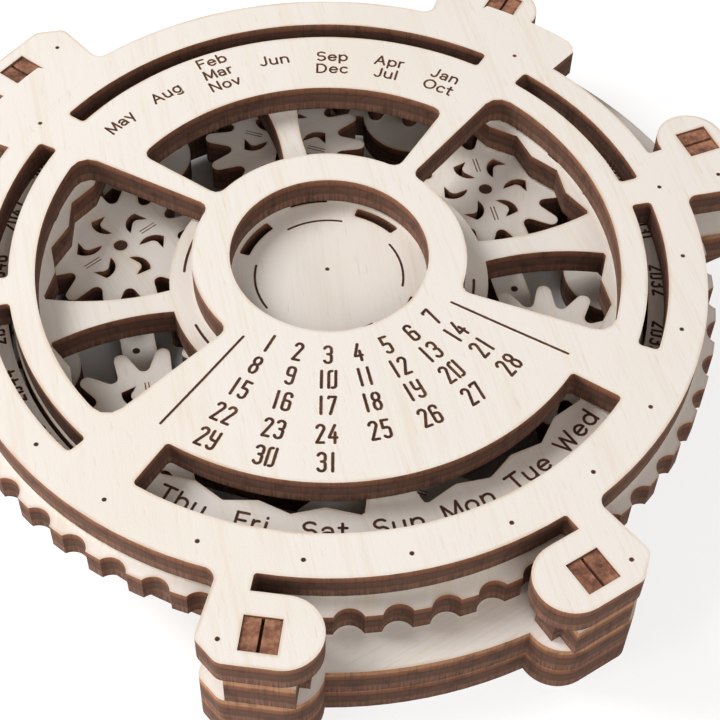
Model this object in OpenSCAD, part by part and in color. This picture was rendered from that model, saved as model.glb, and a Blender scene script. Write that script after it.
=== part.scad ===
// Perpetual desk calendar of laser-cut plywood, lying flat with its dial up.
// Four layers of board: a back plate, a layer of gears, a layer of dials and a
// front plate.  Turning the notched year ring drives the weekday wheel through
// six planet gears that run between the ring gear and the sun gear.
// Origin: on the dial's axis, at the underside of the back plate.
// +X to the right of the dial, +Y to its top, +Z out of its face.

/* [Board] */
// Thickness of the plywood that every layer is cut from
board_t = 3; // [2.8:0.1:3.2]
// Free space between one layer and the next
layer_gap = 0.4; // [0.35:0.05:0.5]

/* [Front plate] */
// How far the year ring's grip stands out past the rim of the two plates
grip_show = 1.35; // [1.2:0.05:1.5]
// How far the rim is set back where it faces the ears at the foot
foot_relief = 0.45; // [0.3:0.05:0.6]
// The same where it faces the ears at the sides
side_relief = 1.15; // [0.9:0.05:1.3]
// How far the collar round the hub hole covers the hub disc's edge
hub_cover = 1.15; // [0.6:0.05:1.5]
// Width of that collar
collar_w = 3.65; // [3.3:0.05:4]
// How far the two side windows stop short of the weekday wheel's edge
side_window_step = 2.65; // [2.4:0.05:3.3]
// Lower edge of a side window, degrees above the horizontal
side_window_low = -32.7; // [-34:0.1:-31]
// Upper edge of a side window, degrees above the horizontal
side_window_high = 39.5; // [38:0.1:41]
// Outer radius of the top window
top_window_r = 22.7; // [20:0.1:24]
// Half the angle that the top window spans
top_window_half = 43.4; // [40:0.1:44]
// How far the weekday window reaches out past the weekday wheel's edge
day_window_over = 0.75; // [0.5:0.05:0.9]
// Height of the weekday window, from its inner to its outer edge
day_window_w = 5.1; // [4.7:0.05:5.3]
// Half the angle that the weekday window spans
day_window_half = 45; // [40:0.5:47]
// Half the angle that the year window at the top spans
year_window_half = 43; // [40:0.5:45]
// Width of the year window and of the four slots beside it
slot_w = 2; // [1.7:0.1:2.3]
// How far these five openings reach in past the year ring's bore
slot_over = 0.55; // [0.4:0.05:0.7]
// Board between the year ring's side of a spacer and its peg, beside the foot
foot_peg_wall = 1.8; // [1.6:0.1:2]
// The same for the pegs at the sides
side_peg_wall = 1; // [0.8:0.1:1.4]
// Half the angle between the two pegs of a pair
peg_half = 20; // [19.5:0.25:20.5]
// Width of an ear, from its inner edge to its straight outer edge
ear_w = 6.9; // [6.6:0.1:7.5]
// How far a foot ear's inner edge reaches over the year ring, past the spacer
foot_ear_over = 0.5; // [0.3:0.1:0.8]
// The same for the ears at the sides
side_ear_over = 1.35; // [1.2:0.05:1.5]

/* [Pegs and pins] */
// Side of the square pegs that hold the layers together
peg_side = 3.2; // [2.8:0.1:3.4]
// Clearance of a peg in its square holes, on each side
peg_fit = 0.05; // [0.02:0.01:0.1]
// Depth of a peg's end below the front plate's face
peg_recess = 0.2; // [0.1:0.1:0.5]
// Width of the saw cut in each peg's end
peg_cut_w = 0.3; // [0.2:0.05:0.5]
// Depth of that saw cut
peg_cut_depth = 1.2; // [0.6:0.1:2]
// Radius of the round pins that the gears turn on
pin_r = 0.65; // [0.55:0.05:0.75]
// Board left under the centre pin, so that the back plate is whole there
pin_floor = 0.6; // [0.4:0.1:1.2]
// Running clearance of a gear's bore round its pin
pin_run = 0.05; // [0.03:0.01:0.08]
// Clearance of a pin or dowel in the board that holds it
pin_seat = 0.02; // [0.01:0.01:0.03]
// Radius of the hidden dowels that join a dial to its gear
dowel_r = 0.9; // [0.8:0.05:1]
// How far a dowel reaches into each of its two boards
dowel_grip = 2.2; // [1.6:0.1:2.4]

/* [Gears] */
// Distance from the dial's axis to each planet gear's pin
orbit_r = 22.1; // [22:0.05:22.2]
// Teeth on a planet gear
planet_teeth = 12; // [12]
// Teeth on the sun gear
sun_teeth = 24; // [24]
// Height of a tooth's tip above the pitch circle, in modules
tooth_add = 0.9; // [0.85:0.01:0.93]
// Depth of a valley below the pitch circle, in modules
tooth_ded = 1.29; // [1.22:0.01:1.31]
// Radius of a tooth's round tip, in modules
tip_round = 0.57; // [0.52:0.01:0.6]
// Radius of the valley between two teeth, in modules
valley_round = 0.5; // [0.46:0.01:0.53]
// Board between the ring gear's valleys and its outer edge
ring_gear_wall = 3.95; // [3.8:0.05:4.1]
// Radius of the bump that the outside of a comma cut-out follows
comma_r = 1.65; // [1.5:0.05:1.7]

/* [Dials] */
// How far the weekday wheel's hub shows outside the collar
hub_show = 2.3; // [1.8:0.1:2.8]
// Width of a spoke at its waist
spoke_w = 2.3; // [2.1:0.05:2.5]
// Radius of the concave flank along which a spoke widens
spoke_flank_r = 25.5; // [24:0.5:28]
// Width of the wheel's lettered rim at the outward points of its zigzag edge
letter_band_w = 3.1; // [2.9:0.05:3.3]
// Depth of that zigzag
zigzag_depth = 0.9; // [0.7:0.05:1.1]
// Number of weekdays lettered round the wheel
day_marks = 28; // [28]
// Clearance between the weekday wheel's edge and the year ring round it
dial_run = 0.4; // [0.3:0.05:0.6]
// Width of the year ring, from its bore to the ridges of its grip
year_ring_w = 6.5; // [6.3:0.1:6.6]
// Depth of a grip notch
notch_depth = 0.85; // [0.6:0.05:1]
// Radius of the round cutter that makes a grip notch
notch_r = 1.5; // [1.4:0.05:1.6]
// Number of grip notches
notches = 56; // [56]
// Board between a dowel of the weekday wheel and the hub disc's hole
wheel_dowel_wall = 0.6; // [0.4:0.05:0.8]
// Clearance of the hub disc in the weekday wheel
disc_fit = 0.1; // [0.05:0.01:0.15]
// How far the disc's four spring slots lie inside its edge
disc_slot_step = 1.95; // [1.8:0.05:2.1]
// Width of a spring slot
disc_slot_w = 1.05; // [0.8:0.05:1.15]

/* [Stack of ears] */
// Clearance between the ring gear and the guides that it turns in
guide_run = 0.3; // [0.2:0.05:0.35]
// Half the angle that a guide spans
guide_half = 29.35; // [28.5:0.05:30.5]
// Thickness of a guide where it is a bare arc round the ring gear
guide_wall = 0.85; // [0.75:0.05:0.95]
// How far the guides and the back plate are set back between two ears
pad_step = 3.3; // [2.3:0.1:3.8]
// Clearance between the grip ridges and the spacers outside them
spacer_run = 0.4; // [0.3:0.05:0.5]

/* [Back plate] */
// Width of the back plate's outer ring
back_ring_w = 7; // [6.5:0.1:7.5]
// Width of the struts from pin to pin
strut_w = 3.4; // [3:0.1:3.8]
// Radius of the round boss under each planet gear's pin
boss_r = 3; // [2.6:0.1:3.4]
// Radius of the boss under the centre pin
back_hub_r = 5; // [4.6:0.1:5.6]
// Radius of the six round lobes on the ring's inner edge
lobe_r = 5.4; // [5:0.1:5.8]

/* [Hidden] */
$fn = 96;

// Heights of the four layers
gear_z = board_t + layer_gap;
dial_z = 2 * gear_z;
front_z = 3 * gear_z;
total_t = front_z + board_t;
// The ears' boards fill the space between the two plates
spacer_t = (front_z - board_t) / 2;

// The gear train
ring_teeth = sun_teeth + 2 * planet_teeth;
tooth_module = 2 * orbit_r / (sun_teeth + planet_teeth);
planets = 6;
ring_root_r = tooth_module * (ring_teeth / 2 + tooth_ded);
sun_root_r = tooth_module * (sun_teeth / 2 - tooth_ded);

// Radii of the plates and dials, from the ring gear outwards and then inwards
ring_gear_r = to_step(ring_root_r + ring_gear_wall);
back_r = ring_gear_r + guide_run + guide_wall;
back_ring_in = back_r - back_ring_w;
rim_r = back_r;
grip_r = rim_r + grip_show;
year_ring_in = grip_r - year_ring_w;
wheel_r = year_ring_in - dial_run;
zigzag_out = wheel_r - letter_band_w;
zigzag_in = zigzag_out - zigzag_depth;
side_window_r = wheel_r - side_window_step;
day_window_out = wheel_r + day_window_over;
day_window_in = day_window_out - day_window_w;
slot_in = year_ring_in - slot_over;
slot_out = slot_in + slot_w;

// Directions, in degrees from +X
foot_dir = -90;
right_dir = 30;
left_dir = 150;

// Small roundings of the cut edges, and degrees between the points of a long arc
arc_step = 2.5;
window_round = 1.8;
hub_side_round = 1;
slot_round = 0.4;
neck_fillet = 1.2;

// Ears and spacers, from the year ring outwards
spacer_in = grip_r + spacer_run;
foot_peg_r = spacer_in + foot_peg_wall + peg_side / 2;
side_peg_r = spacer_in + side_peg_wall + peg_side / 2;
ear_half = ear_w / 2;
pad_r = spacer_in - foot_ear_over + ear_w - pad_step;
// The two kinds of ear: its neck joins the rim between the first two numbers, degrees
// from the peg and away from the pair; then the radius of its inner edge, how far it
// runs past its peg before its round end, how far its spacer runs past the peg, and
// the radius of the rim that it faces
foot_ear = [2.3, 7.2, spacer_in - foot_ear_over, 1.8, 3.3, rim_r - foot_relief];
side_ear = [-0.5, 10, spacer_in - side_ear_over, 0.5, 2.7, rim_r - side_relief];
// The sloping corner of an ear: its two roundings and how far it is cut back
ear_round = 1.2;
ear_slope_round = 0.9;
ear_slope_w = 2.3;
ear_slope_depth = 2.6;
// A spacer past its peg on the short side, and the tongue on its long side
spacer_nose = 1.1;
tongue_in = 2;
tongue_out = 0.9;

// Hidden dowels: how far from the axis, and how many
ring_dowel_at = (ring_root_r + ring_gear_r) / 2;
ring_dowel_count = 8;
wheel_dowel_in = 0.85;
wheel_dowel_at = to_step(sun_root_r - wheel_dowel_in);
wheel_dowel_count = 4;

// Radii at the hub, from these dowels inwards and then outwards
disc_r = wheel_dowel_at - dowel_r - wheel_dowel_wall - disc_fit;
disc_slot_r = disc_r - disc_slot_step;
hub_hole_r = disc_r - hub_cover;
collar_r = hub_hole_r + collar_w;
wheel_hub_r = collar_r + hub_show;
spoke_waist_at = wheel_hub_r + 3;

// Extra depth of a dowel's holes, and how far a pin stays below the layer over it
dowel_spare = 0.1;
pin_short = 0.1;
// Depth of the hub disc's four edge notches
disc_notch = 1;
// How far a lobe's centre lies outside the back ring's inner edge
lobe_step = 1.2;

// Places of a comma cut-out's parts, in multiples of comma_r
comma_back = [2.05, -0.57];
comma_belly = [1.92, -0.44];
comma_tail = [2.52, -0.74];
comma_belly_r = 0.42;

// A radius to the nearest twentieth of a millimetre
function to_step(r) = round(20 * r) / 20;

function polar(r, a) = [r * cos(a), r * sin(a)];

// Points along a circular arc
function arc(centre, r, a_from, a_to, steps) =
  [for (i = [0:steps]) centre + polar(r, a_from + (a_to - a_from) * i / steps)];

function inner_points(points) = [for (i = [1:len(points) - 2]) points[i]];

function turned(points, a) =
  [for (p = points) [p.x * cos(a) - p.y * sin(a), p.x * sin(a) + p.y * cos(a)]];

function mirrored(points) = [for (i = [len(points) - 1:-1:0]) [points[i].x, -points[i].y]];

// Half of one tooth whose tip lies on +X: round tip, straight flank, round valley.
// side is 1 for an outside tooth and -1 for a tooth that points inwards.
function half_tooth(tip_at, valley_at, teeth, side) =
  let (
    tip_rad = tip_round * tooth_module,
    valley_rad = valley_round * tooth_module,
    tip_c = [tip_at - side * tip_rad, 0],
    valley_c = polar(valley_at + side * valley_rad, 180 / teeth),
    gap = valley_c - tip_c,
    flank = atan2(gap.y, gap.x) - side * acos((tip_rad + valley_rad) / norm(gap))
  )
  concat(
    arc(tip_c, tip_rad, side > 0 ? 0 : 180, flank, 3),
    arc(valley_c, valley_rad, flank + 180, (side > 0 ? 180 : 360) + 180 / teeth, 2)
  );

// Outline of a toothed edge with the given pitch radius
function gear_outline(pitch_r, teeth, side) =
  let (
    tip_at = pitch_r + side * tooth_add * tooth_module,
    valley_at = pitch_r - side * tooth_ded * tooth_module,
    half = half_tooth(tip_at, valley_at, teeth, side),
    tooth = concat(mirrored(half), inner_points(half))
  )
  [for (k = [0:teeth - 1]) each turned(tooth, k * 360 / teeth)];

// A sector of a ring, between two radii and two angles
module ring_sector(r_in, r_out, a_from, a_to) {
  mid = (a_from + a_to) / 2;
  reach = 1.6 * r_out;
  intersection() {
    difference() {
      circle(r_out);
      circle(r_in);
    }
    polygon([[0, 0], polar(reach, a_from), polar(reach, (a_from + mid) / 2), polar(reach, mid),
             polar(reach, (mid + a_to) / 2), polar(reach, a_to)]);
  }
}

// The same with rounded corners: radius c_in at the inner arc, c_out at the outer
module window(r_in, r_out, a_from, a_to, c_in, c_out) {
  turn_in = asin(c_in / (r_in + c_in));
  turn_out = asin(c_out / (r_out - c_out));
  steps = ceil((a_to - a_from) / arc_step);
  polygon(concat(
    inner_points(arc([0, 0], r_out, a_from + turn_out, a_to - turn_out, steps)),
    arc(polar(r_out - c_out, a_to - turn_out), c_out, a_to - turn_out, a_to + 90, 3),
    arc(polar(r_in + c_in, a_to - turn_in), c_in, a_to + 90, a_to + 180 - turn_in, 3),
    inner_points(arc([0, 0], r_in, a_to - turn_in, a_from + turn_in, steps)),
    arc(polar(r_in + c_in, a_from + turn_in), c_in, a_from + 180 + turn_in, a_from + 270, 3),
    arc(polar(r_out - c_out, a_from + turn_out), c_out, a_from - 90, a_from + turn_out, 3)
  ));
}

// Draws its child in both places of a pair, either side of the direction dir
module pair(dir) {
  rotate(dir + peg_half) children();
  rotate(dir - peg_half) mirror([0, 1]) children();
}

// Concave corner of radius f between the circle r and the radial edge at angle a,
// sunk a little into both so that it crosses them
module root_fillet(r, a, f) {
  sunk = 0.02;
  turn = asin((f - sunk) / (r + f));
  reach = sqrt(pow(r + f, 2) - f * f);
  difference() {
    polygon([polar(r - 0.6, a - 1), polar(reach, a - 0.5), polar(reach, a),
             polar(r + f - sunk, a + turn), polar(r - 0.1, a + turn)]);
    translate(polar(r + f - sunk, a + turn)) circle(f, $fn = 48);
  }
}

// Radius of the straight outer edge of a kind of ear
function outer_edge(kind) = kind[2] + ear_w;

// Angle from a pair's direction to the middle of its ears' necks
function neck_mid(kind) = peg_half + (kind[0] + kind[1]) / 2;

// One ear, its peg on +X, its free round end towards the other ear of the pair
module ear(kind, base_r) {
  inner = kind[2];
  outer = outer_edge(kind);
  slope_at = outer - ear_slope_w;
  slope_y = slope_at * tan(kind[1]);
  translate([inner + ear_half, -kind[3]]) circle(ear_half);
  polygon(concat(
    [[inner, -kind[3]], [outer, -kind[3]]],
    arc([outer - ear_round, slope_y - ear_slope_depth], ear_round, 0, 40, 3),
    arc([slope_at, slope_y - ear_slope_round], ear_slope_round, 40, kind[1] + 90, 3),
    [polar(kind[5] - 1, kind[1]), polar(kind[5] - 1, kind[0])],
    [polar(inner / cos(kind[0]), kind[0])]
  ));
  root_fillet(base_r, kind[1], neck_fillet);
}

module peg_hole(peg_r) {
  translate([peg_r, 0]) square(peg_side + 2 * peg_fit, center = true);
}

// Six ears, with a small fillet where a neck's inner side meets the rim
module ears() {
  for (p = [[foot_dir, foot_ear], [right_dir, side_ear], [left_dir, side_ear]]) pair(p[0]) {
    ear(p[1], rim_r);
    mirror([0, 1]) root_fillet(p[1][5], -p[1][0], slot_round);
  }
}

// Wedge of a round plate
module pie(r, a_from, a_to) {
  intersection() {
    circle(r);
    polygon([[0, 0], polar(1.6 * r, a_from), polar(1.6 * r, (a_from + a_to) / 2), polar(1.6 * r, a_to)]);
  }
}

module peg_holes() {
  pair(foot_dir) peg_hole(foot_peg_r);
  pair(right_dir) peg_hole(side_peg_r);
  pair(left_dir) peg_hole(side_peg_r);
}

// Front plate: rim, ears, collar, the wide date field at the foot and the windows
module front_plate() {
  color("antiquewhite") translate([0, 0, front_z]) linear_extrude(board_t) difference() {
    union() {
      circle(side_ear[5]);
      pie(foot_ear[5], foot_dir - neck_mid(foot_ear) - 1, foot_dir + neck_mid(foot_ear) + 1);
      pie(rim_r, foot_dir + neck_mid(foot_ear), right_dir - neck_mid(side_ear));
      pie(rim_r, right_dir + neck_mid(side_ear), left_dir - neck_mid(side_ear));
      pie(rim_r, left_dir + neck_mid(side_ear), foot_dir + 360 - neck_mid(foot_ear));
      ears();
    }
    circle(hub_hole_r);
    window(collar_r, side_window_r, side_window_low, side_window_high, hub_side_round, window_round);
    window(collar_r, side_window_r, 180 - side_window_high, 180 - side_window_low, hub_side_round, window_round);
    window(collar_r, top_window_r, 90 - top_window_half, 90 + top_window_half, hub_side_round, hub_side_round);
    window(day_window_in, day_window_out, foot_dir - day_window_half, foot_dir + day_window_half, slot_round, slot_round);
    window(slot_in, slot_out, 90 - year_window_half, 90 + year_window_half, slot_round, slot_round);
    for (a = [[-33.2, 0], [6, 38.5]]) {
      window(slot_in, slot_out, a[0], a[1], slot_round, slot_round);
      window(slot_in, slot_out, 180 - a[1], 180 - a[0], slot_round, slot_round);
    }
    peg_holes();
  }
}

// Outline of a pair's pad: both ears and the board between them
module pad(dir, kind, r_in) {
  intersection() {
    union() {
      pair(dir) ear(kind, back_r);
      ring_sector(r_in, pad_r, dir - neck_mid(kind), dir + neck_mid(kind));
    }
    difference() {
      circle(2 * pad_r);
      circle(r_in);
    }
  }
}

// Back plate: outer ring with six lobes, struts from pin to pin, spokes and bosses
module back_plate() {
  color("wheat") difference() {
    back_board();
    translate([0, 0, pin_floor]) cylinder(r = pin_r + pin_seat, h = board_t, $fn = 32);
  }
}

module back_board() {
  linear_extrude(board_t) difference() {
    union() {
      difference() {
        circle(back_r);
        circle(back_ring_in);
      }
      pad(foot_dir, foot_ear, back_ring_in);
      pad(right_dir, side_ear, back_ring_in);
      pad(left_dir, side_ear, back_ring_in);
      circle(back_hub_r);
      for (k = [0:planets - 1]) rotate(60 * k) {
        translate([back_ring_in + lobe_step, 0]) circle(lobe_r);
        translate([orbit_r * cos(30), 0]) square([strut_w, orbit_r], center = true);
        rotate(30) translate([0, -strut_w / 2]) square([back_ring_in + 1, strut_w]);
        rotate(30) translate([orbit_r, 0]) circle(boss_r);
      }
    }
    for (k = [0:planets - 1]) rotate(60 * k + 30) translate([orbit_r, 0]) circle(pin_r + pin_seat, $fn = 32);
    peg_holes();
  }
}

// Square peg with a saw cut in each end, pointing at the axis
module peg(peg_r) {
  height = total_t - peg_recess;
  translate([peg_r, 0, 0]) difference() {
    translate([-peg_side / 2, -peg_side / 2, 0]) cube([peg_side, peg_side, height]);
    for (z = [-1, height - peg_cut_depth])
      translate([-peg_side, -peg_cut_w / 2, z]) cube([2 * peg_side, peg_cut_w, peg_cut_depth + 1]);
  }
}

module pegs() {
  color("saddlebrown") {
    pair(foot_dir) peg(foot_peg_r);
    pair(right_dir) peg(side_peg_r);
    pair(left_dir) peg(side_peg_r);
  }
}

// Curved guide under a pair of ears, in which the ring gear turns
module guide(dir, kind, peg_r) {
  color("burlywood") translate([0, 0, board_t]) linear_extrude(spacer_t) difference() {
    union() {
      pad(dir, kind, ring_gear_r + guide_run);
      ring_sector(ring_gear_r + guide_run, back_r, dir - guide_half, dir + guide_half);
    }
    pair(dir) peg_hole(peg_r);
  }
}

module guide_foot() { guide(foot_dir, foot_ear, foot_peg_r); }
module guide_right() { guide(right_dir, side_ear, side_peg_r); }
module guide_left() { guide(left_dir, side_ear, side_peg_r); }

// Two blocks round the pegs of a pair, level with the dials
module spacer_pair(dir, kind, peg_r) {
  wide = outer_edge(kind) - spacer_in;
  tail = kind[4];
  color("burlywood") translate([0, 0, board_t + spacer_t]) linear_extrude(spacer_t) pair(dir) difference() {
    union() {
      translate([spacer_in, -tail]) square([wide, tail + peg_side / 2 + spacer_nose]);
      translate([spacer_in + tongue_in, -tail - tongue_out]) square([wide - 2 * tongue_in, 2 * tongue_out]);
    }
    peg_hole(peg_r);
  }
}

module spacers_foot() { spacer_pair(foot_dir, foot_ear, foot_peg_r); }
module spacers_right() { spacer_pair(right_dir, side_ear, side_peg_r); }
module spacers_left() { spacer_pair(left_dir, side_ear, side_peg_r); }

// Pin of the sun gear, in a blind hole of the back plate
module centre_pin() {
  color("peru") translate([0, 0, pin_floor + pin_seat])
    cylinder(r = pin_r, h = dial_z - pin_short - pin_floor - pin_seat, $fn = 32);
}

// Pins of the six planet gears
module planet_pins() {
  color("peru") for (k = [0:planets - 1])
    rotate(60 * k + 30) translate([orbit_r, 0, 0]) cylinder(r = pin_r, h = gear_z + board_t - pin_short, $fn = 32);
}

// Holes or dowels that join a dial to the gear under it
module dowel_ring(count, at_r, r, grip) {
  for (k = [0:count - 1]) rotate((k + 0.5) * 360 / count) translate([at_r, 0, gear_z + board_t - grip])
    cylinder(r = r, h = 2 * grip + layer_gap, $fn = 24);
}

// Year ring: flat ring with a notched grip
module year_ring() {
  color("antiquewhite") difference() {
    translate([0, 0, dial_z]) linear_extrude(board_t) difference() {
      circle(grip_r);
      circle(year_ring_in);
      for (k = [0:notches - 1])
        rotate((k + 0.5) * 360 / notches) translate([grip_r - notch_depth + notch_r, 0]) circle(notch_r, $fn = 24);
    }
    dowel_ring(ring_dowel_count, ring_dowel_at, dowel_r + pin_seat, dowel_grip + dowel_spare);
  }
}

// Ring gear under the year ring, its teeth pointing inwards
module ring_gear() {
  color("tan") difference() {
    translate([0, 0, gear_z]) linear_extrude(board_t) difference() {
      circle(ring_gear_r);
      polygon(gear_outline(tooth_module * ring_teeth / 2, ring_teeth, -1));
    }
    dowel_ring(ring_dowel_count, ring_dowel_at, dowel_r + pin_seat, dowel_grip + dowel_spare);
  }
}

module ring_dowels() {
  color("peru") dowel_ring(ring_dowel_count, ring_dowel_at, dowel_r, dowel_grip);
}

// Weekday wheel: hub, four flared spokes and a rim whose inner edge zigzags
module weekday_wheel() {
  zigzag = [for (k = [0:day_marks - 1]) each [
    polar(zigzag_in, foot_dir + k * 360 / day_marks),
    polar(zigzag_out, foot_dir + (k + 0.5) * 360 / day_marks)
  ]];
  flank_at = [spoke_waist_at, spoke_w / 2 + spoke_flank_r];
  color("antiquewhite") difference() {
    translate([0, 0, dial_z]) linear_extrude(board_t) difference() {
      circle(wheel_r);
      circle(disc_r + disc_fit);
      for (k = [0:3]) rotate(90 * k) intersection() {
        polygon(zigzag);
        translate(flank_at) circle(spoke_flank_r);
        translate([flank_at.y, flank_at.x]) circle(spoke_flank_r);
        difference() {
          circle(wheel_r);
          circle(wheel_hub_r);
        }
      }
    }
    dowel_ring(wheel_dowel_count, wheel_dowel_at, dowel_r + pin_seat, dowel_grip + dowel_spare);
  }
}

// Hub disc: snaps into the weekday wheel on four springy edges
module hub_disc() {
  color("antiquewhite") translate([0, 0, dial_z]) linear_extrude(board_t) difference() {
    circle(disc_r);
    for (k = [0:3]) {
      window(disc_slot_r - disc_slot_w / 2, disc_slot_r + disc_slot_w / 2, 90 * k + 30, 90 * k + 60, 0.2, 0.2);
      ring_sector(disc_r - disc_notch, disc_r + disc_notch, 90 * k - 11, 90 * k + 11);
    }
  }
}

// Sun gear under the weekday wheel
module sun_gear() {
  color("tan") difference() {
    translate([0, 0, gear_z]) linear_extrude(board_t) difference() {
      polygon(gear_outline(tooth_module * sun_teeth / 2, sun_teeth, 1));
      circle(pin_r + pin_run, $fn = 32);
    }
    dowel_ring(wheel_dowel_count, wheel_dowel_at, dowel_r + pin_seat, dowel_grip + dowel_spare);
  }
}

module wheel_dowels() {
  color("peru") dowel_ring(wheel_dowel_count, wheel_dowel_at, dowel_r, dowel_grip);
}

// One comma cut-out: a round back that ends in a tail over a hollow belly
module comma() {
  scale(comma_r) polygon(concat(
    arc(comma_back, 1, 49, 159, 7),
    arc(comma_belly, comma_belly_r, 112, 8, 5),
    [comma_tail]
  ));
}

// Planet gear on pin number k, with six comma cut-outs round its bore
module planet_gear(k) {
  color("tan") rotate(60 * k - 30) translate([orbit_r, 0, gear_z]) rotate(30 - 60 * k)
    linear_extrude(board_t) difference() {
      rotate(15) polygon(gear_outline(tooth_module * planet_teeth / 2, planet_teeth, 1));
      circle(pin_r + pin_run, $fn = 32);
      for (j = [0:5]) rotate(60 * j) comma();
    }
}

module planet_1() { planet_gear(1); }
module planet_2() { planet_gear(2); }
module planet_3() { planet_gear(3); }
module planet_4() { planet_gear(4); }
module planet_5() { planet_gear(5); }
module planet_6() { planet_gear(6); }

front_plate();
back_plate();
pegs();
guide_foot();
guide_right();
guide_left();
spacers_foot();
spacers_right();
spacers_left();
centre_pin();
planet_pins();
year_ring();
ring_gear();
ring_dowels();
weekday_wheel();
hub_disc();
sun_gear();
wheel_dowels();
planet_1();
planet_2();
planet_3();
planet_4();
planet_5();
planet_6();
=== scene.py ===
"""Looks of the perpetual desk calendar: birch plywood with laser-charred edges, scored
lettering and pierced dots.  It stands in the CAD model's frame: the origin is on the dial's
axis at the underside of the back plate, and +Z points out of the dial.  Sizes named here are
in mm and degrees; what goes to Blender is in metres."""

import math

import bpy
from mathutils import Matrix, Vector


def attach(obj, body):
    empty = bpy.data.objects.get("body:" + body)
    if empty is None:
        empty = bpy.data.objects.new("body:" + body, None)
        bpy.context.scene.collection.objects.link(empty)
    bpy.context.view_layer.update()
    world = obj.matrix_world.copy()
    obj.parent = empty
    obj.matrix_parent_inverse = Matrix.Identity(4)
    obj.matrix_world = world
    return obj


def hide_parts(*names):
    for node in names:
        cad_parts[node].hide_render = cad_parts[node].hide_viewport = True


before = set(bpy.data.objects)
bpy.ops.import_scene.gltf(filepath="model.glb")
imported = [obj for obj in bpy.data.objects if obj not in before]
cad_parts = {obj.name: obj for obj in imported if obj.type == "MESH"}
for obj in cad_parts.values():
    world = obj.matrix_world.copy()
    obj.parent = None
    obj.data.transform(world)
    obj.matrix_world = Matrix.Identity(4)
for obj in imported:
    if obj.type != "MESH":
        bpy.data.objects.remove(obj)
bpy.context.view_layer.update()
scene = bpy.context.scene

MM = 0.001
PLY = 3.0                                          # thickness of every board
FRONT, DIAL, GEAR, BACK = 13.2, 9.8, 6.4, 3.0      # height of each layer's upper face


# ---------------------------------------------------------------- node trees
def srgb(*c):
    """Linear colour of an sRGB one, given in 0 to 255."""
    f = [v / 255 for v in c]
    return tuple(v / 12.92 if v <= 0.04045 else ((v + 0.055) / 1.055) ** 2.4 for v in f) + (1,)


class Tree:
    """The nodes of a material or world, made one call at a time."""

    def __init__(self, owner):
        owner.use_nodes = True
        self.owner, self.t = owner, owner.node_tree
        self.t.nodes.clear()

    def feed(self, socket, value):
        """Links the value to the socket, or sets it there when it is a constant."""
        if isinstance(value, bpy.types.NodeSocket):
            self.t.links.new(value, socket)
        else:
            socket.default_value = value

    def add(self, kind, out=0, props=None, **ins):
        """A node's output; i0, i1 and so on are inputs by number, other words by name."""
        n = self.t.nodes.new("ShaderNode" + kind)
        for k, v in (props or {}).items():
            setattr(n, k, v)
        for k, v in ins.items():
            by_number = k[0] == "i" and k[1:].isdigit()
            self.feed(n.inputs[int(k[1:])] if by_number else n.inputs[k.replace("_", " ")], v)
        return n.outputs[out] if n.outputs else None

    def math(self, op, a, b=0.0, clamp=False):
        return self.add("Math", props={"operation": op, "use_clamp": clamp}, i0=a, i1=b)

    def plus(self, a, b):
        return self.math("ADD", a, b)

    def minus(self, a, b):
        return self.math("SUBTRACT", a, b)

    def times(self, a, b):
        return self.math("MULTIPLY", a, b)

    def vec(self, op, a, b, out=0):
        return self.add("VectorMath", out, props={"operation": op}, i0=a, i1=b)

    def noise(self, v, scale, detail, rough, stretch=None):
        """Noise of scale cycles a metre, or of as many along each axis as stretch says."""
        if stretch:
            v = self.vec("MULTIPLY", v, stretch)
        return self.add("TexNoise", Vector=v, Scale=scale, Detail=detail, Roughness=rough)

    def ramp(self, v, stops):
        n = self.t.nodes.new("ShaderNodeValToRGB")
        e = n.color_ramp.elements
        while len(e) < len(stops):
            e.new(0.5)
        for el, (place, colour) in zip(e, stops):
            el.position, el.color = place, colour
        self.t.links.new(v, n.inputs[0])
        return n.outputs[0]

    def step(self, v, lo, hi):
        """0 up to lo and 1 from hi on, with a soft passage."""
        return self.add("MapRange", props={"interpolation_type": "SMOOTHSTEP"},
                        Value=v, From_Min=lo, From_Max=hi, To_Min=0.0, To_Max=1.0)

    def mix(self, f, a, b):
        n = self.t.nodes.new("ShaderNodeMix")
        n.data_type = "RGBA"
        for s, v in ((n.inputs[0], f), (n.inputs[6], a), (n.inputs[7], b)):
            self.feed(s, v)
        return n.outputs[2]

    def seen(self):
        """1 on rays of the camera, of reflections and through glass, 0 on those of light."""
        path = self.add("LightPath").node.outputs
        return self.math("ADD", path["Is Camera Ray"],
                         self.plus(path["Is Glossy Ray"], path["Is Transmission Ray"]), True)

    def close(self, colour, rough, height, depth=0.00002, strength=0.5):
        """Ends a wood's tree with its surface, and gives the material."""
        bump = self.add("Bump", Strength=strength, Distance=depth, Height=height)
        b = self.add("BsdfPrincipled", Base_Color=colour, Roughness=rough, Normal=bump)
        b.node.inputs["Specular IOR Level"].default_value = 0.32
        self.add("OutputMaterial", Surface=b)
        return self.owner


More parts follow.
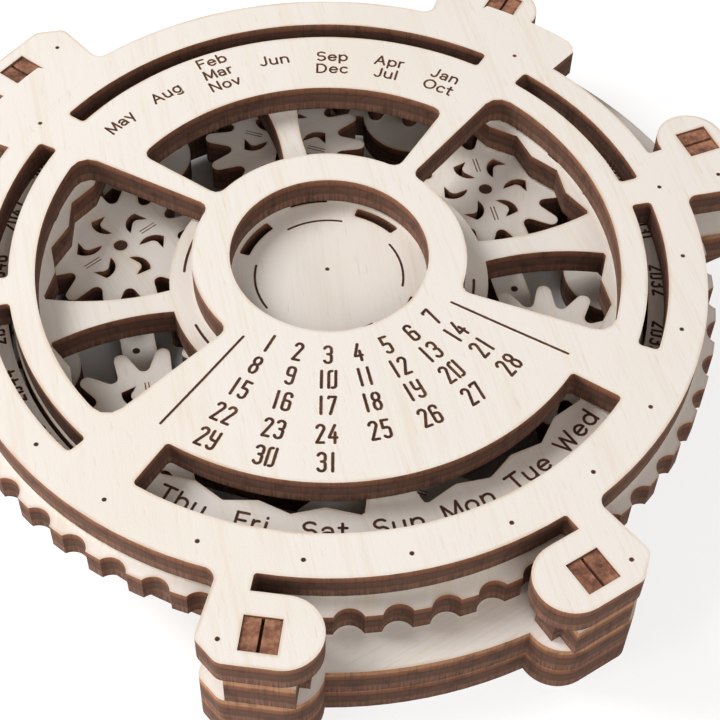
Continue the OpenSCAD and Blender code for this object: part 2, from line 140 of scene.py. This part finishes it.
# ---------------------------------------------------------------- woods
PALE, CREAM, TAN = srgb(247, 241, 234), srgb(241, 231, 217), srgb(224, 204, 176)
SCORCH, SINGED, CHAR = srgb(200, 158, 108), srgb(176, 132, 96), srgb(40, 27, 22)
INK = [(0.3, srgb(38, 25, 21)), (0.5, srgb(62, 40, 32)), (0.68, srgb(98, 66, 50))]
PLIES = [  # a cut edge from its lower corner up: a dark middle ply between two browner ones
    (0.0, srgb(80, 56, 45)), (0.06, srgb(106, 75, 61)), (0.3, srgb(116, 83, 67)),
    (0.37, srgb(91, 65, 53)), (0.62, srgb(97, 69, 56)), (0.7, srgb(85, 57, 45)),
    (0.78, srgb(116, 77, 59)), (0.95, srgb(136, 91, 67)), (1.0, srgb(172, 128, 95)),
]
COMB_PALE, COMB_DARK = srgb(142, 108, 90), srgb(56, 38, 31)
HALO = 0.28             # how strongly a face is scorched along its cut edges
HALO_REACH = 0.8


def grain(t, obj, angle, seed):
    """Colour, height and fibres of a face whose grain runs along angle."""
    turned = t.add("Mapping", Vector=obj, Rotation=(0, 0, -math.radians(angle)),
                   Location=(0.37 * seed, 0.21 * seed, 0.13 * seed))
    fibre = t.noise(turned, 1, 4, 0.6, (110, 2600, 1800))
    bands = t.noise(turned, 1, 2, 0.5, (22, 330, 300))
    fleck = t.noise(turned, 1, 1, 0.5, (420, 3600, 2000))
    cloud = t.noise(turned, 38, 3, 0.6)
    tone = t.plus(t.times(fibre, 0.5), t.times(bands, 0.5))
    face = t.ramp(tone, [(0.34, CREAM), (0.5, PALE), (0.62, PALE), (0.72, CREAM)])
    face = t.mix(t.times(t.step(cloud, 0.45, 0.75), 0.45), face, CREAM)
    face = t.mix(t.times(t.step(fleck, 0.66, 0.78), 0.3), face, TAN)
    return face, t.plus(t.times(fibre, 0.6), t.times(fleck, -0.5)), fibre


def scored(t, obj, face):
    """Colour of a scored line, darker where the attribute burn is higher."""
    rag = t.noise(obj, 5200, 3, 0.65)
    patch = t.noise(obj, 700, 2, 0.5)
    burn = t.add("Attribute", 2, props={"attribute_name": "burn"})
    depth = t.plus(burn, t.times(t.minus(rag, 0.5), 0.55))
    ink = t.ramp(t.plus(t.times(patch, 0.6), t.times(rag, 0.4)), INK)
    rim = t.mix(t.step(depth, 0.08, 0.4), face, SINGED)
    return t.mix(t.step(depth, 0.3, 0.62), rim, ink)


def scorched(t, obj, true, face, halo):
    """Colour of a face that is scorched near its cut edges, where rounded normals turn."""
    rounded = t.add("Bevel", props={"samples": 6}, Radius=HALO_REACH * MM)
    near = t.minus(1.0, t.vec("DOT_PRODUCT", rounded, true, 1))
    warm = t.step(t.noise(obj, 160, 2, 0.5), 0.42, 0.72)
    strength = t.times(halo, t.plus(1.0, t.times(warm, 1.8)))
    return t.mix(t.times(t.step(near, 0.0, 0.28), strength), face, SCORCH)


def cut_edge(t, obj, z0):
    """Colour of a cut edge, and how the laser combed it."""
    z = t.add("SeparateXYZ", 2, Vector=obj)
    wave = t.times(t.minus(t.noise(obj, 420, 2, 0.5), 0.5), 0.08)
    up = t.math("ADD", t.times(t.minus(z, z0 * MM), 1 / (PLY * MM)), wave, True)
    comb = t.noise(obj, 1, 2, 0.5, (5200, 5200, 300))
    soot = t.noise(obj, 1, 3, 0.6, (700, 700, 700))
    edge = t.ramp(up, PLIES)
    low = t.times(t.step(up, 0.4, 0.15), t.step(comb, 0.48, 0.66))
    edge = t.mix(t.times(low, 0.5), edge, COMB_PALE)
    edge = t.mix(t.times(t.step(comb, 0.5, 0.34), 0.28), edge, COMB_DARK)
    return t.mix(t.times(t.step(soot, 0.5, 0.7), 0.4), edge, CHAR), comb


def board(name, angle, seed, z0, burnt=False, halo=HALO):
    """Birch plywood whose lower face is at z0, its face grain along angle; burnt is for
    scored lines."""
    t = Tree(bpy.data.materials.new(name))
    obj = t.add("TexCoord", 3)
    face, height, fibre = grain(t, obj, angle, seed)
    if burnt:
        return t.close(scored(t, obj, face), 0.85, height)
    true = t.add("NewGeometry", 3)
    flat = t.step(t.math("ABSOLUTE", t.add("SeparateXYZ", 2, Vector=true)), 0.4, 0.6)
    edge, comb = cut_edge(t, obj, z0)
    colour = t.mix(flat, edge, scorched(t, obj, true, face, halo))
    rough = t.minus(0.86, t.times(flat, t.plus(0.2, t.times(fibre, 0.12))))
    return t.close(colour, rough, t.plus(t.times(height, flat), t.times(comb, 1.2)))


def stick(name, pale, mid, dark, seed):
    """Turned or squared stick of darker wood, end grain up."""
    t = Tree(bpy.data.materials.new(name))
    obj = t.add("TexCoord", 3)
    moved = t.vec("ADD", obj, (0.11 * seed, 0.07 * seed, 0))
    pores = t.noise(moved, 1, 3, 0.65, (2600, 2600, 180))
    rings = t.noise(moved, 1, 2, 0.5, (520, 900, 60))
    soot = t.noise(moved, 330, 3, 0.6)
    colour = t.ramp(t.plus(t.times(pores, 0.45), t.times(rings, 0.55)),
                    [(0.34, dark), (0.48, mid), (0.64, pale)])
    colour = t.mix(t.times(t.step(soot, 0.5, 0.72), 0.7), colour, CHAR)
    return t.close(colour, 0.8, pores, 0.00006, 0.6)


BOARDS = {  # node: grain angle, seed, height of the lower face
    "front_plate": (90, 1, 10.2), "back_plate": (8, 2, 0),
    "guide_foot": (20, 3, 3), "guide_right": (95, 4, 3), "guide_left": (140, 5, 3),
    "spacers_foot": (80, 6, 6.6), "spacers_right": (30, 7, 6.6), "spacers_left": (150, 8, 6.6),
    "year_ring": (74, 9, 6.8), "ring_gear": (40, 10, 3.4),
    "weekday_wheel": (97, 11, 6.8), "hub_disc": (84, 12, 6.8), "sun_gear": (60, 13, 3.4),
    "planet_1": (70, 14, 3.4), "planet_2": (20, 15, 3.4), "planet_3": (112, 16, 3.4),
    "planet_4": (95, 17, 3.4), "planet_5": (50, 18, 3.4), "planet_6": (84, 19, 3.4),
}
BEECH = srgb(206, 172, 132), srgb(186, 148, 108), srgb(150, 112, 78)
STICKS = {  # node: pale, middle and dark tone, seed
    "pegs": (srgb(180, 130, 102), srgb(138, 93, 73), srgb(86, 57, 46), 1),
    "centre_pin": (srgb(120, 88, 66), srgb(84, 58, 44), srgb(50, 34, 27), 2),
    "planet_pins": (srgb(108, 78, 60), srgb(72, 50, 40), srgb(44, 30, 25), 3),
    "ring_dowels": (*BEECH, 4),
    "wheel_dowels": (*BEECH, 5),
}
for specs, kind, prefix in ((BOARDS, board, "birch_"), (STICKS, stick, "wood_")):
    for node, spec in specs.items():
        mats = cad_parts[node].data.materials
        mats.clear()
        mats.append(kind(prefix + node, *spec))


# ---------------------------------------------------------------- a single-stroke alphabet
def oval(cx, cy, rx, ry, a0, a1, n):
    """Points on an ellipse, from angle a0 to a1 in n steps."""
    return [(cx + rx * math.cos(math.radians(a0 + (a1 - a0) * i / n)),
             cy + ry * math.sin(math.radians(a0 + (a1 - a0) * i / n))) for i in range(n + 1)]


def bowl(cx, a0=0, a1=360):
    """The round part of a small letter."""
    return oval(cx, .34, .27, .34, a0, a1, 14)


# each glyph: advance width, then its strokes; capital height is 1
HOOK = oval(.18, .15, .16, .15, 0, -160, 6)
BELLY = oval(.2, .41, .14, .14, 90, 0, 4)
NINE = [(0, .64)] + oval(.14, .62, .14, .12, 180, 270, 4) + [(.34, .5)]
ARCH = oval(.29, .42, .25, .27, 180, 0, 8) + [(.54, 0)]
CUP = [(.04, .69), (.04, .26)] + oval(.28, .26, .24, .26, 180, 360, 8)
DIGITS = {
    "0": (.34, [[(0, 0), (0, .86)] + oval(.13, .87, .13, .13, 180, 80, 4),
                [(.34, 1), (.34, .13)] + oval(.2, .13, .14, .13, 0, -105, 4)]),
    "1": (.2, [[(.1, 1), (.1, 0)]]),
    "2": (.34, [oval(.17, .81, .17, .19, 170, -25, 8) + [(.01, 0)], [(.01, 0), (.33, 0)]]),
    "3": (.34, [oval(.17, .83, .17, .17, 165, 0, 6) + [(.34, .68)]
                + oval(.2, .66, .14, .13, 0, -90, 4),
                [(.16, .53)] + oval(.2, .39, .14, .14, 90, 0, 4) + [(.34, .17)]
                + oval(.17, .17, .17, .17, 0, -165, 8)]),
    "4": (.36, [[(.25, 1), (0, .3)], [(0, .3), (.36, .3)], [(.27, .58), (.27, 0)]]),
    "5": (.34, [[(.32, 1), (.03, 1)], [(.03, 1), (.03, .57)],
                [(.03, .57), (.18, .57)] + oval(.2, .42, .14, .15, 90, 0, 4)
                + [(.34, .16)] + HOOK]),
    "6": (.34, [oval(.17, .85, .16, .15, -15, 180, 8) + [(0, .14)]
                + oval(.15, .14, .15, .14, 180, 270, 4),
                [(0, .55), (.18, .55)] + BELLY + [(.34, .14)]
                + oval(.18, .14, .16, .14, 0, -90, 4)]),
    "7": (.34, [[(0, .92), (.03, 1), (.34, 1)], [(.34, 1), (.1, 0)]]),
    "8": (.34, [oval(.17, .77, .17, .23, 112, 428, 14), oval(.17, .27, .17, .27, -68, 248, 14)]),
    "9": (.34, [oval(.17, .85, .17, .15, 0, 180, 8) + NINE, [(.34, .85)] + HOOK]),
    "y": (.34, [[(0, 1)] + NINE, [(.34, 1)] + HOOK]),  # a nine left open at the top
}
LETTERS = {
    "A": (.74, [[(0, 0), (.35, 1)], [(.35, 1), (.7, 0)], [(.13, .34), (.57, .34)]]),
    "D": (.74, [[(.04, 0), (.04, 1)],
                [(.04, 1), (.3, 1)] + oval(.3, .5, .38, .5, 90, -90, 10) + [(.04, 0)]]),
    "F": (.56, [[(.54, 1), (.04, 1)], [(.04, 1), (.04, 0)], [(.04, .53), (.46, .53)]]),
    "J": (.5, [[(.42, 1), (.42, .26)] + oval(.21, .24, .21, .24, 0, -150, 6)]),
    "M": (.84, [[(.02, 0), (.07, 1)], [(.07, 1), (.42, .12)], [(.42, .12), (.77, 1)],
                [(.77, 1), (.82, 0)]]),
    "N": (.72, [[(.04, 0), (.04, 1)], [(.04, 1), (.66, 0)], [(.66, 0), (.66, 1)]]),
    "O": (.86, [oval(.42, .5, .4, .5, 0, 360, 20)]),
    "S": (.62, [oval(.31, .75, .27, .25, 35, 250, 9) + oval(.3, .27, .28, .27, 75, -145, 9)]),
    "T": (.64, [[(0, 1), (.64, 1)], [(.32, 1), (.32, 0)]]),
    "W": (.94, [[(0, 1), (.23, 0)], [(.23, 0), (.46, .92)], [(.46, .92), (.69, 0)],
                [(.69, 0), (.92, 1)]]),
    "a": (.54, [oval(.25, .46, .22, .23, 160, 0, 7) + [(.48, 0)],
                oval(.25, .2, .22, .19, 40, 320, 9)]),
    "b": (.6, [[(.04, 1), (.04, 0)], bowl(.31)]),
    "c": (.52, [bowl(.29, 45, 315)]),
    "d": (.6, [[(.55, 1), (.55, 0)], bowl(.28)]),
    "e": (.58, [[(.03, .36), (.55, .36)], oval(.29, .34, .27, .34, 5, 320, 13)]),
    "g": (.6, [bowl(.28), [(.55, .66), (.55, -.1)] + oval(.3, -.08, .25, .2, 0, -150, 6)]),
    "h": (.6, [[(.04, 1), (.04, 0)], ARCH]),
    "i": (.16, [[(.06, .69), (.06, 0)], [(.06, .95), (.06, .99)]]),
    "l": (.16, [[(.06, 1), (.06, 0)]]),
    "n": (.6, [[(.04, .69), (.04, 0)], ARCH]),
    "o": (.6, [bowl(.29)]),
    "p": (.6, [[(.04, .68), (.04, -.28)], bowl(.31)]),
    "r": (.36, [[(.04, .69), (.04, 0)], [(.04, .42)] + oval(.26, .42, .22, .26, 180, 80, 5)]),
    "t": (.4, [[(.16, .94), (.16, .16)] + oval(.3, .15, .14, .15, 180, 280, 4),
               [(0, .68), (.36, .68)]]),
    "u": (.6, [CUP, [(.52, .69), (.52, 0)]]),
    "v": (.52, [[(0, .68), (.25, 0)], [(.25, 0), (.5, .68)]]),
    "y": (.52, [[(0, .68), (.26, .02)], [(.5, .68), (.16, -.28)]]),
}


# ---------------------------------------------------------------- scored lines and dots
LINE = 0.3              # width of a scored stroke
RAGGED = 0.04           # how far its singed rim goes past that, and a dot's past its radius
MIDWAY = 0.6            # where across a line or dot the burn reaches its middle step
SUNK, PROUD, RIDGE = 0.05, 0.006, 0.012   # depth of an inlay, its height, and that per burn
SAME = 1e-3             # points nearer than this are one
MITRE = 0.6             # sharper corners than this cosine aren't drawn out
END = 6                 # facets of a round end


def polar(r, a):
    return r * math.cos(math.radians(a)), r * math.sin(math.radians(a))


def placed(name, mesh):
    """The mesh as an object of the scene."""
    o = bpy.data.objects.new(name, mesh)
    scene.collection.objects.link(o)
    return o


class Scoring:
    """Scored strokes and pierced dots of one layer, as thin inlays in its upper face.
    Where two cross, the more deeply burnt one lies on top."""

    def __init__(self, name, body, top, spec):
        self.name, self.body, self.top, self.spec = name, body, top, spec
        self.v, self.f, self.burn = [], [], []

    def point(self, x, y, burn):
        """A corner of the inlay; burn None puts it on its underside."""
        z = -SUNK if burn is None else PROUD + RIDGE * burn
        self.v.append((x * MM, y * MM, (self.top + z) * MM))
        self.burn.append(burn or 0)
        return len(self.v) - 1

    def stroke(self, pts, width=LINE, deep=1.0):
        """A groove along pts with round ends: its burn grows from the rim to the middle."""
        p = [pts[0]]
        for q in pts[1:]:
            if math.dist(p[-1], q) > SAME:
                p.append(q)
        closed = len(p) > 3 and math.dist(p[0], p[-1]) < 2 * SAME
        if closed:
            p.pop()
        n = len(p)
        half = width / 2 + RAGGED
        spans = [(-half, 0.0), (-half * MIDWAY, MIDWAY * deep), (0, deep),
                 (half * MIDWAY, MIDWAY * deep), (half, 0.0)]
        top, low = [], []
        for i in range(n):
            x, y = p[i]
            nx, ny = self.across(p[i - 1] if i or closed else p[i], p[i],
                                 p[(i + 1) % n] if i < n - 1 or closed else p[i])
            top.append([self.point(x + nx * o, y + ny * o, b) for o, b in spans])
            low.append([self.point(x + nx * o, y + ny * o, None) for o in (-half, half)])
        for i in range(n if closed else n - 1):
            a, b, c, d = top[i], top[(i + 1) % n], low[i], low[(i + 1) % n]
            for j in range(4):
                self.f.append((a[j], b[j], b[j + 1], a[j + 1]))
            self.f += [(a[4], b[4], d[1], c[1]), (b[0], a[0], c[0], d[0]),
                       (c[0], c[1], d[1], d[0])]
        if not closed:
            self.round_end(p[0], p[1], top[0][::-1], low[0][::-1], half, deep)
            self.round_end(p[-1], p[-2], top[-1], low[-1], half, deep)

    @staticmethod
    def across(before, here, after):
        """The way across a groove at a corner, drawn out to the mitre."""
        (ax, ay), (bx, by) = [
            ((e[0] - s[0]) / (math.dist(s, e) or 1), (e[1] - s[1]) / (math.dist(s, e) or 1))
            for s, e in ((before, here), (here, after))]
        length = math.hypot(ax + bx, ay + by)
        tx, ty = (ax + bx) / length, (ay + by) / length
        mitre = 1 / max(MITRE, tx * (ax or bx) + ty * (ay or by))
        return -ty * mitre, tx * mitre

    def round_end(self, tip, inner, row, foot, half, deep):
        """Closes a groove at tip, whose last row of points and their feet are given."""
        out = math.atan2(tip[1] - inner[1], tip[0] - inner[0])
        turns = [out + math.pi * (k / END - .5) for k in range(1, END)]

        def fan(first, radius, burn, last):
            return [first] + [self.point(tip[0] + radius * math.cos(t),
                                         tip[1] + radius * math.sin(t), burn)
                              for t in turns] + [last]

        mid = fan(row[1], half * MIDWAY, MIDWAY * deep, row[3])
        rim = fan(row[0], half, 0, row[4])
        under = fan(foot[0], half, None, foot[1])
        for k in range(END):
            self.f += [(row[2], mid[k], mid[k + 1]), (mid[k], rim[k], rim[k + 1], mid[k + 1]),
                       (rim[k], under[k], under[k + 1], rim[k + 1])]
        self.f.append(tuple(reversed(under)))

    def dot(self, r, a, size=0.2):
        """A pierced dot of radius size at the polar place r, a."""
        (x, y), n = polar(r, a), 16
        mid, foot = self.point(x, y, 1.3), self.point(x, y, None)
        rim = size + 1.5 * RAGGED
        rings = [[self.point(x + s * math.cos(2 * math.pi * k / n),
                             y + s * math.sin(2 * math.pi * k / n), b) for k in range(n)]
                 for s, b in ((size * MIDWAY, 1.1), (rim, 0), (rim, None))]
        for k in range(n):
            m = (k + 1) % n
            self.f += [(mid, rings[0][k], rings[0][m]), (foot, rings[2][m], rings[2][k])]
            for a0, a1 in zip(rings, rings[1:]):
                self.f.append((a0[k], a1[k], a1[m], a0[m]))

    def arc(self, r, a0, a1, width):
        steps = max(3, int(abs(a1 - a0) / 2.5))
        self.stroke([polar(r, a0 + (a1 - a0) * i / steps) for i in range(steps + 1)], width)

    def text(self, words, glyphs, r, a, height, inward, width, stretch=1.0, space=0.25,
             deep=1.0):
        """Words whose baseline touches the circle of radius r at angle a; height is between
        stroke centres.  inward: the letters' tops point at the axis."""
        x = -(sum(glyphs[c][0] for c in words) + space * (len(words) - 1)) / 2
        side = -1 if inward else 1
        (ox, oy), (cx, cy) = polar(r, a), polar(1, a)
        for c in words:
            for s in glyphs[c][1]:
                self.stroke([(ox + side * height * (py * cx + (x + px) * stretch * cy),
                              oy + side * height * (py * cy - (x + px) * stretch * cx))
                             for px, py in s], width, deep)
            x += glyphs[c][0] + space

    def make(self):
        mesh = bpy.data.meshes.new(self.name)
        mesh.from_pydata(self.v, [], self.f)
        mesh.attributes.new("burn", "FLOAT", "POINT").data.foreach_set("value", self.burn)
        mesh.update()
        mesh.materials.append(board(self.name + "_ink", *self.spec, burnt=True))
        o = placed(self.name, mesh)
        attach(o, self.body)


# ---------------------------------------------------------------- what is scored where
RING = 34.0             # radius of the ring of dots
STEP = 360 / 28         # a weekday or year on the dials
ORBIT = 22.1            # radius of the planets' pins

# the dates and the two lines beside them
DATE_ROWS = (13.26, 16.06, 18.96, 22.06, 25.06)
DATES = {"height": 1.88, "inward": True, "width": 0.3}
OPEN_NINES = {19: "1y", 29: "2y"}
DIVIDER = polar(12.95, -40.1), polar(19, -40.85), polar(25, -41.1)
plate = Scoring("plate_scoring", "frame", FRONT, BOARDS["front_plate"])
for day in range(1, 32):
    row, col = divmod(day - 1, 7)
    plate.text(OPEN_NINES.get(day, str(day)), DIGITS, DATE_ROWS[row], -90 + (col - 3) * STEP,
               **DATES)
for side in (1, -1):
    plate.stroke([(side * x, y) for x, y in DIVIDER], 0.26, 0.9)

# the dots: a row of seven below, then pairs, of which those beside the dial are skewed
DOT_LOW, DOT_STEP, SKEW = -90.5, 15.4, 0.5
for k in range(-3, 4):
    plate.dot(RING, DOT_LOW + DOT_STEP * k)
for r, a, skew in ((RING, -28.35, SKEW), (RING, -12.95, SKEW), (RING, 2.45, SKEW),
                   (RING, 42.5, 0), (42.3, -65.4, 0), (40.4, 3.1, 0), (40.4, 56.9, 0)):
    plate.dot(r, a + skew)
    plate.dot(r, 180 - a + skew)

# the months, column by column, from the axis outwards; a lone one stands on the second row
MONTH_ROW, MONTH_PITCH = 24.95, 1.85
MONTHS = (("May",), ("Aug",), ("Nov", "Mar", "Feb"), ("Jun",), ("Dec", "Sep"), ("Jul", "Apr"),
          ("Oct", "Jan"))
MONTH_TYPE = {"height": 1.25, "inward": False, "width": 0.24, "stretch": 1.15, "space": 0.2,
              "deep": 0.8}
for col, names in enumerate(MONTHS):
    for row, name in enumerate(names, start=len(names) == 1):
        plate.text(name, LETTERS, MONTH_ROW + MONTH_PITCH * row, 90 - (col - 3) * STEP,
                   **MONTH_TYPE)
plate.make()

DAYS = ("Sun", "Mon", "Tue", "Wed", "Thu", "Fri", "Sat")
DAY_TYPE = {"height": 1.65, "inward": True, "width": 0.27, "stretch": 1.22, "space": 0.2}
wheel = Scoring("wheel_scoring", "weekday_wheel", DIAL, BOARDS["weekday_wheel"])
for k in range(28):
    wheel.text(DAYS[k % 7], LETTERS, 29.83, -90 + k * STEP, **DAY_TYPE)
for k in range(4):
    wheel.arc(0.415 * RING, 90 * k + 14, 90 * k + 76, 0.26)
wheel.make()

disc = Scoring("disc_scoring", "weekday_wheel", DIAL, BOARDS["hub_disc"])
for k in range(4):
    disc.arc(0.2125 * RING, 90 * k - 22, 90 * k + 22, 0.22)
disc.dot(0.85, 90)
disc.make()

FIRST_YEAR = 2024
YEAR_TYPE = {"height": 1.35, "inward": False, "width": 0.27, "stretch": 1.3, "deep": 0.85}
years = Scoring("year_scoring", "year_ring", DIAL, BOARDS["year_ring"])
for k in range(28):
    years.text(str(FIRST_YEAR + k), DIGITS, 31.5, 90 - k * STEP, **YEAR_TYPE)
years.make()

back = Scoring("back_scoring", "frame", BACK, BOARDS["back_plate"])
for k in range(6):
    back.dot(0.572 * RING, 60 * k, 0.38)
back.make()

MARK = (2.6, 3.2, 3.8, 4.4)     # a pair of lines on either side of a planet, along its radius
for k in range(1, 7):
    a = 60 * k - 30
    cx, cy = polar(ORBIT, a)
    c, s = polar(1, a + 60)
    gear = Scoring(f"planet_{k}_scoring", f"planet_{k}", GEAR, BOARDS[f"planet_{k}"])
    for side in (-1, 1):
        for off in (-.17, .17):
            gear.stroke([(cx + side * r * c - off * s, cy + side * r * s + off * c)
                         for r in MARK], 0.1, 0.6)
    gear.make()

# ---------------------------------------------------------------- forms that the solids lack
# the back plate, which keeps to the ring gear's track between the guides
RIM, TRACK = 36.15, 33.9        # its outer radius under a guide and between two
GUIDE_AT, GUIDE_HALF = 30, 29.35    # middle of the first of the three guides, and half of one
EASE = 2.5                      # over how many degrees it passes from one to the other
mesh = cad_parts["back_plate"].data.copy()
mesh.name = "back_board"
for v in mesh.vertices:
    r, a = math.hypot(v.co.x, v.co.y) / MM, math.degrees(math.atan2(v.co.y, v.co.x))
    free = abs((a - GUIDE_AT + 60) % 120 - 60) - GUIDE_HALF     # past the end of a guide
    ease = min(1, max(0, free / EASE))
    limit = RIM + (TRACK - RIM) * ease * ease * (3 - 2 * ease)
    if free > 0 and r > limit:
        v.co.x, v.co.y = v.co.x * limit / r, v.co.y * limit / r
mesh.update()
o = placed("back_board", mesh)
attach(o, "frame")
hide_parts("back_plate")

# the necks of the two upper side ears, which run on to the middle of their pair
NECK_IN, NECK_OUT = 34.6, 39.6
NECK = ([(NECK_IN, a) for a in (144.6, 141, 138, 135, 132, 129, 126)]
        + [(37.2, 126), (NECK_OUT, 128)] + [(NECK_OUT, a) for a in (131, 134, 137, 140)]
        + [(39.5, 142.6), (39.1, 143.9), (38.5, 144.6)])
COVER = 0.003                   # by which a neck's face covers that of the plate
for name, flip in (("neck_left", 1), ("neck_right", -1)):
    outline = [polar(r, 90 + flip * (a - 90)) for r, a in NECK]
    if flip > 0:
        outline.reverse()
    n = len(outline)
    mesh = bpy.data.meshes.new(name)
    mesh.from_pydata([(x * MM, y * MM, z * MM) for z in (FRONT - PLY, FRONT + COVER)
                      for x, y in outline], [],
                     [tuple(reversed(range(n))), tuple(range(n, 2 * n))]
                     + [(i, (i + 1) % n, n + (i + 1) % n, n + i) for i in range(n)])
    mesh.update()
    mesh.materials.append(board("birch_" + name, *BOARDS["front_plate"], halo=0.0))
    o = placed(name, mesh)
    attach(o, "frame")

# ---------------------------------------------------------------- floor, light, camera
FLOOR_HALF, FLOOR_Z = 3, -.0002     # m
GLOW = 0.72                         # what the floor adds to its own light, to read white
UNDER = (0.028, 0.032)              # m, where the glow sets in past the windows
floor_mesh = bpy.data.meshes.new("floor")
floor_mesh.from_pydata([(x * FLOOR_HALF, y * FLOOR_HALF, FLOOR_Z)
                        for x, y in ((-1, -1), (1, -1), (1, 1), (-1, 1))], [], [(0, 1, 2, 3)])
floor = placed("floor", floor_mesh)
t = Tree(bpy.data.materials.new("pale_floor"))
apart = t.vec("LENGTH", t.add("TexCoord", 3), (0, 0, 0), 1)
grey = t.add("BsdfDiffuse", Color=(0.80, 0.79, 0.77, 1))
white = t.add("AddShader", i0=t.add("Emission", Color=(1, 1, 1, 1), Strength=GLOW),
              i1=t.add("BsdfDiffuse", Color=(0.42, 0.42, 0.42, 1)))
white = t.add("MixShader", i0=t.step(apart, *UNDER), i1=grey, i2=white)
t.add("OutputMaterial", Surface=t.add("MixShader", i0=t.seen(), i1=grey, i2=white))
floor_mesh.materials.append(t.owner)

scene.world = bpy.data.worlds.new("studio")
t = Tree(scene.world)
dim = t.add("Background", Color=(1, 0.89, 0.8, 1), Strength=0.21)
bright = t.add("Background", Color=(1, 1, 1, 1), Strength=1.0)
t.add("OutputWorld", Surface=t.add("MixShader", i0=t.seen(), i1=dim, i2=bright))

SOFTBOXES = (  # name, place and side in metres, watts, colour; each looks at the origin
    ("key", (-0.42, 0.26, 0.46), 0.30, 3.2, (0.995, 0.997, 1)),
    ("fill", (0.10, -0.50, 0.34), 0.4, 1.4, (1, 0.995, 0.99)),
    ("side", (-0.55, -0.12, 0.10), 0.25, 2.5, (1, 0.98, 0.96)),
)
for name, place, size, watts, colour in SOFTBOXES:
    light = bpy.data.lights.new(name, "AREA")
    light.shape, light.size, light.energy, light.color = "SQUARE", size, watts, colour
    o = placed(name, light)
    o.location = place
    o.rotation_mode = "QUATERNION"
    o.rotation_quaternion = Vector(place).to_track_quat("Z", "Y")

camera = bpy.data.cameras.new("camera")
camera.lens, camera.sensor_width = 84.163, 36
camera.clip_start, camera.clip_end = 0.005, 20
eye = placed("camera", camera)
eye.matrix_world = Matrix((
    (0.9746591, 0.1640291, -0.1520988, -0.02334882),
    (-0.2226166, 0.7779376, -0.587584, -0.10338099),
    (0.0219425, 0.6065539, 0.7947396, 0.13517044),
    (0, 0, 0, 1)))
scene.camera = eye
scene.view_settings.view_transform = "Standard"
